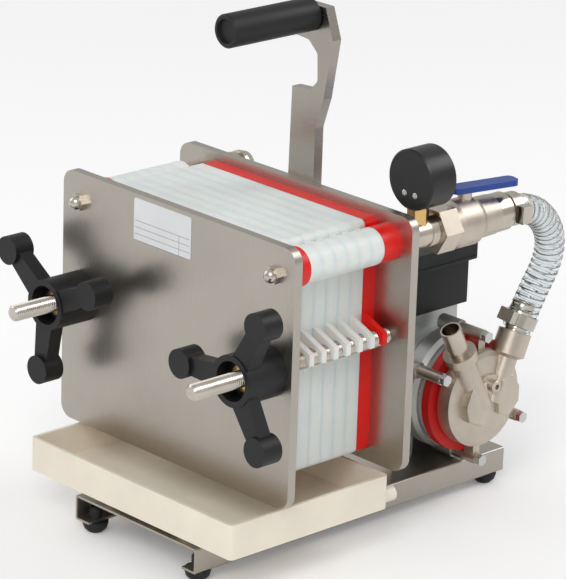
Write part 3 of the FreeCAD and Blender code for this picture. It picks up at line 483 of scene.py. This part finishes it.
class PRESS_OT_stage(bpy.types.Operator):
    """Make the floor, the even light, the soft lamps and the camera"""
    bl_idname = "press.stage"
    bl_label = "Stage"

    def execute(self, context):
        settings = context.scene.press_stage
        self.floor(settings)
        self.sky(context.scene, settings)
        self.lamps()
        self.camera(context.scene, settings)
        context.scene.view_settings.view_transform = "Standard"
        return {"FINISHED"}

    def floor(self, settings):
        """A wide flat floor, a little brighter to the camera, that keeps the soft shadow."""
        corners = [(FLOOR_HALF * x, FLOOR_HALF * y, 0) for x, y in
                   ((-1, -1), (1, -1), (1, 1), (-1, 1))]
        mesh = bpy.data.meshes.new("Floor")
        mesh.from_pydata(corners, [], [(0, 1, 2, 3)])
        floor = bpy.data.objects.new("Floor", mesh)
        link(floor)
        finish = Finish("Floor", settings.floor, 0.9, 0.0, Specular_IOR_Level=0.0)
        mesh.materials.append(finish.material)
        glow = finish.nodes.new("ShaderNodeLightPath")
        finish.set("Emission Color", (1, 1, 1, 1))
        finish.links.new(finish.span(glow.outputs["Is Camera Ray"], 0.0, FLOOR_GLOW, 0, 1),
                         finish.shader.inputs["Emission Strength"])

    def sky(self, scene, settings):
        """An even world, shown at full white to the camera and through clear pieces."""
        world = bpy.data.worlds.new("Studio")
        world.use_nodes = True
        scene.world = world
        nodes, links = world.node_tree.nodes, world.node_tree.links
        rays = nodes.new("ShaderNodeLightPath")
        seen = nodes.new("ShaderNodeMath")
        seen.operation = "MAXIMUM"
        links.new(rays.outputs["Is Camera Ray"], seen.inputs[0])
        links.new(rays.outputs["Is Transmission Ray"], seen.inputs[1])
        spread = nodes.new("ShaderNodeMapRange")
        spread.inputs["To Min"].default_value = settings.sky
        spread.inputs["To Max"].default_value = 1.0
        links.new(seen.outputs["Value"], spread.inputs["Value"])
        backdrop = nodes["Background"]
        backdrop.inputs["Color"].default_value = (1, 1, 1, 1)
        links.new(spread.outputs["Result"], backdrop.inputs["Strength"])

    def lamps(self):
        """Three soft area lamps, each turned to face the press."""
        target = Vector(LAMP_TARGET)
        for name, place, size, power in LAMPS:
            light = bpy.data.lights.new(name, "AREA")
            light.size = size
            light.energy = power
            lamp = bpy.data.objects.new(name, light)
            lamp.location = place
            lamp.rotation_euler = (Vector(place) - target).to_track_quat("Z", "Y").to_euler()
            link(lamp)

    def camera(self, scene, settings):
        """The camera looks along minus its back vector, which azimuth and elevation give."""
        sin_a, cos_a = np.sin(settings.azimuth), np.cos(settings.azimuth)
        sin_e, cos_e = np.sin(settings.elevation), np.cos(settings.elevation)
        back = Vector((sin_a * cos_e, -cos_a * cos_e, sin_e))
        level = Vector((cos_a, sin_a, 0))
        upright = back.cross(level)
        right = level * np.cos(settings.roll) + upright * np.sin(settings.roll)
        up = upright * np.cos(settings.roll) - level * np.sin(settings.roll)
        lens = bpy.data.cameras.new("Camera")
        lens.lens = settings.lens
        lens.sensor_width = 36
        lens.clip_end = 50
        camera = bpy.data.objects.new("Camera", lens)
        link(camera)
        turn = Matrix((right, up, back)).transposed().to_4x4()
        camera.matrix_world = Matrix.Translation(settings.camera) @ turn
        scene.camera = camera


def size_setting(name, description, default):
    return bpy.props.FloatProperty(name=name, description=description, default=default,
                                   unit="LENGTH", min=0)


class PressHose(bpy.types.PropertyGroup):
    radius: size_setting("Radius", "Outer radius of the hose", 0.013)
    wall: size_setting("Wall", "Thickness of the hose's wall", 0.0026)
    pitch: size_setting("Pitch", "Distance between the turns of the wire", 0.0064)
    wire: size_setting("Wire", "Radius of the wire", 0.0005)


RIDGE = 0.3 * MM       # half the height of the ridge that follows the wire
WIRE_GAP = 0.001       # from the hose's end to the wire's
WIRE_DEPTH = 0.6       # place of the wire inside the wall, as a part of its thickness
STEPS_PER_TURN = 28    # points of the wire's line in each turn

# The hose leaves the valve's tail, swings out to the back and comes down on the pump's right port.
HOSE_ROUTE = ((0.114, 0.1175, 0.270), (0.114, 0.151, 0.269), (0.1115, 0.1815, 0.244),
              (0.1075, 0.1885, 0.214), (0.100, 0.176, 0.1805), (0.097, 0.16244, 0.15066))


class PRESS_OT_hose(bpy.types.Operator):
    """Make the clear feed hose and the wire spiral in its wall"""
    bl_idname = "press.hose"
    bl_label = "Feed hose"

    def execute(self, context):
        settings = context.scene.press_hose
        path, length = spline_points(HOSE_ROUTE)
        sides, across = carried(path)
        run = np.linspace(0, length, len(path))
        turn = TAU * run / settings.pitch
        hose = piece("Hose", [self.wall(path, sides, across, turn, settings)], "frame",
                     FINISHES["clear"])
        coil = piece("Hose_wire", [self.wire(path, length, settings)], "frame", FINISHES["wire"])
        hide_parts("feed_hose")
        return {"FINISHED"}

    def wall(self, path, sides, across, turn, settings):
        """Outer and inner skins joined at both ends. Outer radius = radius - RIDGE
        + RIDGE * cos(angle - turn), a low ridge that follows the wire."""
        t = np.linspace(0, TAU, 48, endpoint=False)
        ridge = settings.radius - RIDGE + RIDGE * np.cos(t[None] - turn[:, None])
        circle = (np.cos(t)[None, :, None] * sides[:, None]
                  + np.sin(t)[None, :, None] * across[:, None])
        outer = path[:, None] + ridge[..., None] * circle
        inner = path[:, None] + (settings.radius - settings.wall) * circle
        return loft(np.concatenate([outer, inner[::-1]]), closed=True)

    def wire(self, path, length, settings):
        """A helix about the path, just inside the middle of the wall: one turn each pitch."""
        turns = (length - 2 * WIRE_GAP) / settings.pitch
        run = np.linspace(WIRE_GAP, length - WIRE_GAP, int(turns * STEPS_PER_TURN))
        spots = np.linspace(0, length, len(path))
        at = np.stack([np.interp(run, spots, path[:, axis]) for axis in range(3)], -1)
        sides, across = carried(at)
        angle = TAU * run / settings.pitch
        radius = settings.radius - WIRE_DEPTH * settings.wall
        line = at + radius * (np.cos(angle)[:, None] * sides + np.sin(angle)[:, None] * across)
        return tube(line, settings.wire, 6)


class PressRods(bpy.types.PropertyGroup):
    radius: size_setting("Radius", "Outer radius of the tie rods", 0.007)
    pitch: size_setting("Pitch", "Distance between thread turns", 0.002)
    depth: size_setting("Depth", "Depth of the thread", 0.0009)
    tip: size_setting("Tip", "Length of the bevel at the ends", 0.0018)


ROWS_PER_TURN = 8                 # rings of points in each turn of the thread
FLANK_SLOPE, CREST_FLAT = 1.35, 0.15  # steepness of the flanks and how much crest they leave


class PRESS_OT_rods(bpy.types.Operator):
    """Make both tie rods with a thread along them"""
    bl_idname = "press.rods"
    bl_label = "Tie rods"

    def execute(self, context):
        for side in ("left", "right"):
            node = f"tie_rod_{side}"
            made = piece(f"Threaded_rod_{side}", [self.thread(node, context.scene.press_rods)],
                         "frame", FINISHES["steel_thread"])
            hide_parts(node)
        return {"FINISHED"}

    def thread(self, node, settings):
        """Radius = radius - depth * w, where w goes 1, 0, 1 over each turn of
        height / pitch - angle / turn, and the ends are bevelled and closed."""
        low, high = low_of(node), high_of(node)
        centre = (low + high) / 2
        length = high.y - low.y
        rows = int(length / settings.pitch * ROWS_PER_TURN)
        height = np.linspace(0, length, rows + 1)
        t = np.linspace(0, TAU, 32, endpoint=False)
        phase = (height[:, None] / settings.pitch - t[None] / TAU) % 1
        groove = np.clip(FLANK_SLOPE * np.abs(2 * phase - 1) - CREST_FLAT, 0, 1)
        ends = np.minimum(height, length - height)
        limit = settings.radius - np.clip(settings.tip - ends, 0, None)[:, None]
        radius = np.minimum(settings.radius - settings.depth * groove, limit)
        rings = np.stack([centre.x + radius * np.cos(t), np.broadcast_to(
            low.y + height[:, None], radius.shape), centre.z - radius * np.sin(t)], -1)
        return loft(rings)


class PressLabel(bpy.types.PropertyGroup):
    width: size_setting("Width", "Width of the blank plate", 0.0695)
    height: size_setting("Height", "Height of the blank plate", 0.036)
    thickness: size_setting("Thickness", "Thickness of the blank plate", 0.0003)


LABEL_X = -0.0158          # centre of the blank plate across the press
LABEL_DROP = 0.0035        # from the front plate's top edge to the blank plate's
LABEL_GAP = 0.00001        # keeps the blank plate clear of the steel behind it
LABEL_CORNER = 0.002
RULE_TOP = -0.001          # height of the top rule over the blank plate's centre
RULE_STEP = 0.0056         # from one rule to the next
RULE_WIDTH = 0.00035
RULE_HEIGHT = 0.00003      # how far a rule stands out
RULE_CORNER = 0.0001
RULE_MARGIN = 0.0015       # from a rule's end to the plate's edge
COLUMN_RULE = 0.62         # place of the upright rule, as a part of half the rules' length


class PRESS_OT_label(bpy.types.Operator):
    """Make the blank data plate with its ruled lines on the front plate"""
    bl_idname = "press.label"
    bl_label = "Blank plate"

    def execute(self, context):
        settings = context.scene.press_label
        low, high = low_of("front_plate"), high_of("front_plate")
        centre = Vector((LABEL_X, low.y - LABEL_GAP,
                         high.z - LABEL_DROP - settings.height / 2))
        plate = prism(rounded(settings.width, settings.height, LABEL_CORNER), centre, X, Z,
                      (0, -settings.thickness, 0))
        piece("Blank_plate", [plate], "pressure_plate", FINISHES["label"],
              smooth=False)
        half = settings.width / 2 - RULE_MARGIN
        rules = [(0, RULE_TOP - RULE_STEP * row, 2 * half, RULE_WIDTH) for row in range(4)]
        rules.append((half * COLUMN_RULE, RULE_TOP - RULE_STEP * 1.5, RULE_WIDTH, RULE_STEP * 3))
        parts = [prism(rounded(width, height, RULE_CORNER, 2),
                       centre + Vector((x, -settings.thickness, z)), X, Z, (0, -RULE_HEIGHT, 0))
                 for x, z, width, height in rules]
        piece("Ruled_lines", parts, "pressure_plate", FINISHES["label_ink"],
              smooth=False)
        return {"FINISHED"}


class PressPump(bpy.types.PropertyGroup):
    face: size_setting("Face", "Place of the pump's face in front of its gasket", 0.016)
    wall: size_setting("Wall", "Height of the cast walls over the face", 0.0115)
    plug_radius: size_setting("Plug radius", "Radius of the small drilled boss", 0.0054)
    ring_radius: size_setting("Ring radius", "Radius of the ring round the boss", 0.0265)


# Corners of the two cast walls, in millimetres across and up from the shaft.
PUMP_WALLS = (((-27, -13), (-10, -20), (-4, 0), (-8, 20), (-24, 17), (-31, 1)),
              ((9, -13), (22, -17), (33, -6), (33, 8), (24, 20), (12, 18), (7, 1)))
PUMP_ROOT = 0.003              # how far the walls and the boss reach into the pump
RING_FOOT, RING_TOP = 0.0016, 0.0012     # half the ring's width at its foot and at its top
RING_SUNK, RING_HEIGHT = 0.001, 0.0014   # how far the ring reaches into and out of the face
PLUG_PLACE = (0, 0.002, 0.014)  # the boss's centre, from the shaft
PLUG_LENGTH = 0.005            # length of the boss beyond the walls' height over the face
PLUG_EDGE = 0.0008
PLUG_MOUTH, PLUG_BOTTOM, PLUG_DEPTH = 0.0023, 0.0021, 0.004  # radii and depth of its hole


class PRESS_OT_pump(bpy.types.Operator):
    """Make the cast walls, the ring and the drilled boss on the pump's face"""
    bl_idname = "press.pump"
    bl_label = "Pump face"

    def execute(self, context):
        settings = context.scene.press_pump
        shaft = middle("fan_cover")
        centre = Vector((high_of("pump_gasket").x + settings.face, shaft.y, shaft.z))
        root = centre - Vector((PUMP_ROOT, 0, 0))
        walls = [self.wall(root, corners, settings.wall + PUMP_ROOT) for corners in PUMP_WALLS]
        piece("Pump_walls", walls, "frame", FINISHES["nickel_cast"], bevel=0.0016,
              segments=3)
        radius = settings.ring_radius
        ring = lathe([(radius + RING_FOOT, -RING_SUNK), (radius + RING_TOP, RING_HEIGHT),
                      (radius - RING_TOP, RING_HEIGHT), (radius - RING_FOOT, -RING_SUNK)],
                     centre, X, 64, closed=True)
        piece("Pump_ring", [ring], "frame", FINISHES["nickel_cast"])
        radius, top = settings.plug_radius, settings.wall + PLUG_LENGTH
        plug = lathe([(0, 0), (radius, 0), (radius, top - PLUG_EDGE), (radius - PLUG_EDGE, top),
                      (PLUG_MOUTH, top), (PLUG_BOTTOM, top - PLUG_DEPTH), (0, top - PLUG_DEPTH)],
                     root + Vector(PLUG_PLACE), X, 32)
        piece("Pump_plug", [plug], "frame", FINISHES["nickel_cast"])
        return {"FINISHED"}

    def wall(self, root, corners, height):
        """Millimetre corners across the shaft, carried forward by the height."""
        return prism(np.array(corners) * MM, root, Y, Z, (height, 0, 0))


# Corners of a screw head with a sunken socket, as parts of its radius and height.
SCREW_PROFILE = ((0, 0), (1, 0), (1, 0.6), (0.8, 1), (0.5, 1), (0.45, 0.4), (0, 0.4))


def screw(at, axis, radius, height):
    """A low screw head that narrows as it rises, with a sunken socket."""
    return lathe([(radius * out, height * up) for out, up in SCREW_PROFILE], at, axis, 24)


class PressHousing(bpy.types.PropertyGroup):
    lip: size_setting("Lip", "How far the lid's lip stands out", 0.0012)
    lip_height: size_setting("Lip height", "Height of the lid's lip", 0.0026)
    fins: bpy.props.IntProperty(name="Fins", description="Cooling fins round the motor",
                                default=22, min=3)
    fin: size_setting("Fin", "Height of a fin over the motor", 0.0022)


LIP_CORNER, LIP_LIFT = 0.004, 0.0001    # corner radius, and height over the lid's underside
LID_SCREW_INSET = 0.0085               # from the lid's edges to its screws
LID_SCREW_RADIUS, LID_SCREW_HEIGHT = 0.0036, 0.0016
FIN_END_GAP = 0.004                    # from the fins' ends to the fan cover and the flange
FIN_ROOT, FIN_BASE = 0.048, 0.050      # radius at a fin's foot, and of the motor itself
FIN_FOOT, FIN_TOP = 0.0013, 0.0009     # half a fin's width at its foot and at its top
FIN_UPPER, FIN_LOWER = 0.75, -0.6      # no fin stands higher or lower than this on a unit circle
GRILLE_RADII = (0.012, 0.019, 0.026, 0.033, 0.040)
GRILLE_FOOT, GRILLE_TOP = 0.0011, 0.0009   # half a ring's width at its foot and at its top
GRILLE_SUNK, GRILLE_HEIGHT = 0.0004, 0.0012  # how deep a ring starts in the cover, its height


class PRESS_OT_motor(bpy.types.Operator):
    """Make the motor's fins, the fan cover's grille and the terminal lid's lip and screws"""
    bl_idname = "press.motor"
    bl_label = "Motor details"

    def execute(self, context):
        settings = context.scene.press_housing
        low, high = low_of("terminal_lid"), high_of("terminal_lid")
        foot = Vector(((low.x + high.x) / 2, (low.y + high.y) / 2, low.z + LIP_LIFT))
        lip = prism(rounded(high.x - low.x + 2 * settings.lip, high.y - low.y + 2 * settings.lip,
                            LIP_CORNER), foot, X, Y, (0, 0, settings.lip_height))
        piece("Lid_lip", [lip], "frame", FINISHES["black"], bevel=0.0006)
        heads = [screw((x, y, high.z), Z, LID_SCREW_RADIUS, LID_SCREW_HEIGHT)
                 for x in (low.x + LID_SCREW_INSET, high.x - LID_SCREW_INSET)
                 for y in (low.y + LID_SCREW_INSET, high.y - LID_SCREW_INSET)]
        piece("Lid_screws", heads, "frame", FINISHES["zinc"])
        self.fins(settings)
        self.grille()
        return {"FINISHED"}

    def fins(self, settings):
        """Bars along the shaft, evenly spaced round the motor, none at its top and bottom."""
        start = high_of("fan_cover").x + FIN_END_GAP
        end = low_of("motor_flange").x - FIN_END_GAP
        shaft = middle("fan_cover")
        top = FIN_BASE + settings.fin
        outline = [(-FIN_FOOT, FIN_ROOT), (FIN_FOOT, FIN_ROOT), (FIN_TOP, top), (-FIN_TOP, top)]
        bars = []
        for angle in np.arange(settings.fins) * TAU / settings.fins:
            up = np.array((0, np.cos(angle), np.sin(angle)))
            if FIN_LOWER <= up[2] <= FIN_UPPER:
                bars.append(prism(outline, (start, shaft.y, shaft.z), np.cross(X, up), up,
                                  (end - start, 0, 0)))
        piece("Motor_fins", bars, "frame", FINISHES["alloy"], bevel=0.0004)

    def grille(self):
        """Raised rings on the closed end of the fan cover."""
        shaft = middle("fan_cover")
        centre = (low_of("fan_cover").x + GRILLE_SUNK, shaft.y, shaft.z)
        rings = [lathe([(radius - GRILLE_FOOT, 0), (radius - GRILLE_TOP, GRILLE_HEIGHT),
                        (radius + GRILLE_TOP, GRILLE_HEIGHT), (radius + GRILLE_FOOT, 0)],
                       centre, (-1, 0, 0), 48, closed=True) for radius in GRILLE_RADII]
        piece("Fan_grille", rings, "frame", FINISHES["black_paint"])


class PressGauge(bpy.types.PropertyGroup):
    marks: bpy.props.IntProperty(name="Marks", description="Long marks round the dial",
                                 default=11, min=2)
    reading: bpy.props.FloatProperty(name="Reading", description="Turn of the pointer",
                                     default=np.radians(225), subtype="ANGLE")


DIAL_FROM, DIAL_TO = 225, -45           # degrees of the first and last mark
MARKS_PER_STEP = 5                      # marks from one long mark to the next
MARK_OUTER, MARK_HEIGHT = 0.0195, 0.0002
LONG_MARK, SHORT_MARK = (0.0155, 0.0005), (0.0175, 0.00025)  # inner end and half width
POINTER_TAIL, POINTER_TIP, POINTER_HALF, POINTER_HEIGHT = -0.005, 0.016, 0.0006, 0.0009
POINTER_HUB = ((0, 0), (0.0024, 0), (0.002, 0.0016), (0, 0.0016))
GAUGE_SCREWS = ((-0.006, -0.012), (0.006, -0.012))  # across and up from the gauge's centre
GAUGE_SCREW_RADIUS, GAUGE_SCREW_HEIGHT, GAUGE_SCREW_SUNK = 0.0026, 0.0009, 0.0002
PIPE_THREAD = 0.0075                    # length of bare thread in front of the union
PIPE_PITCH, PIPE_DEPTH = 0.0018, 0.0006
PIPE_INNER, PIPE_ROOT = 0.0118, 0.0124  # radius inside the thread, and at its root


class PRESS_OT_gauge(bpy.types.Operator):
    """Make the dial's marks, pointer and screws, and the thread on the pipe"""
    bl_idname = "press.gauge"
    bl_label = "Gauge and pipe"

    def execute(self, context):
        settings = context.scene.press_gauge
        dial = middle("gauge_dial")
        face = high_of("gauge_dial").y
        centre = Vector((dial.x, face, dial.z))
        marks = []
        count = (settings.marks - 1) * MARKS_PER_STEP + 1
        for index, angle in enumerate(np.radians(np.linspace(DIAL_FROM, DIAL_TO, count))):
            inner, half = SHORT_MARK if index % MARKS_PER_STEP else LONG_MARK
            marks.append(self.hand(centre, angle, inner, MARK_OUTER, half, MARK_HEIGHT))
        piece("Dial_marks", marks, "frame", FINISHES["label_ink"], smooth=False)
        pointer = [self.hand(centre, settings.reading, POINTER_TAIL, POINTER_TIP, POINTER_HALF,
                             POINTER_HEIGHT), lathe(POINTER_HUB, centre, Y, 24)]
        piece("Dial_pointer", pointer, "frame", FINISHES["label_ink"])
        back = low_of("gauge_case").y + GAUGE_SCREW_SUNK
        heads = [screw((dial.x + x, back, dial.z + z), (0, -1, 0), GAUGE_SCREW_RADIUS,
                       GAUGE_SCREW_HEIGHT) for x, z in GAUGE_SCREWS]
        piece("Gauge_screws", heads, "frame", FINISHES["zinc"])
        pipe = middle("union_nut")
        height = np.linspace(-PIPE_THREAD, 0, 61)
        radius = PIPE_ROOT + PIPE_DEPTH * np.abs(2 * ((height / PIPE_PITCH) % 1) - 1)
        profile = [(PIPE_INNER, height[0]), *zip(radius, height), (PIPE_INNER, 0)]
        thread = lathe(profile, (pipe.x, low_of("union_nut").y, pipe.z), Y, closed=True)
        piece("Pipe_thread", [thread], "frame", FINISHES["nickel"])
        return {"FINISHED"}

    def hand(self, centre, angle, start, end, half, height):
        """A flat bar that points out from the dial's centre, on a dial that faces +Y."""
        out = np.array((-np.cos(angle), 0, np.sin(angle)))
        side = np.cross(out, (0, -1, 0))
        return prism([(-half, start), (half, start), (half, end), (-half, end)], centre, side,
                     out, (0, height, 0))


class VIEW3D_PT_press(bpy.types.Panel):
    """A button for each step"""
    bl_label = "Filter Press"
    bl_space_type = "VIEW_3D"
    bl_region_type = "UI"
    bl_category = "Filter Press"

    def draw(self, context):
        for step in STEPS:
            self.layout.operator(step.bl_idname)


STEPS = (PRESS_OT_stage, PRESS_OT_finishes, PRESS_OT_hose, PRESS_OT_rods, PRESS_OT_label,
         PRESS_OT_pump, PRESS_OT_motor, PRESS_OT_gauge)
SETTINGS = {"press_colours": PressColours, "press_stage": PressStage, "press_hose": PressHose,
            "press_rods": PressRods, "press_label": PressLabel, "press_pump": PressPump,
            "press_housing": PressHousing, "press_gauge": PressGauge}
CLASSES = (*SETTINGS.values(), *STEPS, VIEW3D_PT_press)


def register():
    for one in CLASSES:
        bpy.utils.register_class(one)
    for name, settings in SETTINGS.items():
        setattr(bpy.types.Scene, name, bpy.props.PointerProperty(type=settings))


def unregister():
    for name in SETTINGS:
        delattr(bpy.types.Scene, name)
    for one in reversed(CLASSES):
        bpy.utils.unregister_class(one)


def main():
    register()
    for step in STEPS:
        group, name = step.bl_idname.split(".")
        getattr(getattr(bpy.ops, group), name)()


if __name__ == "__main__":
    main()
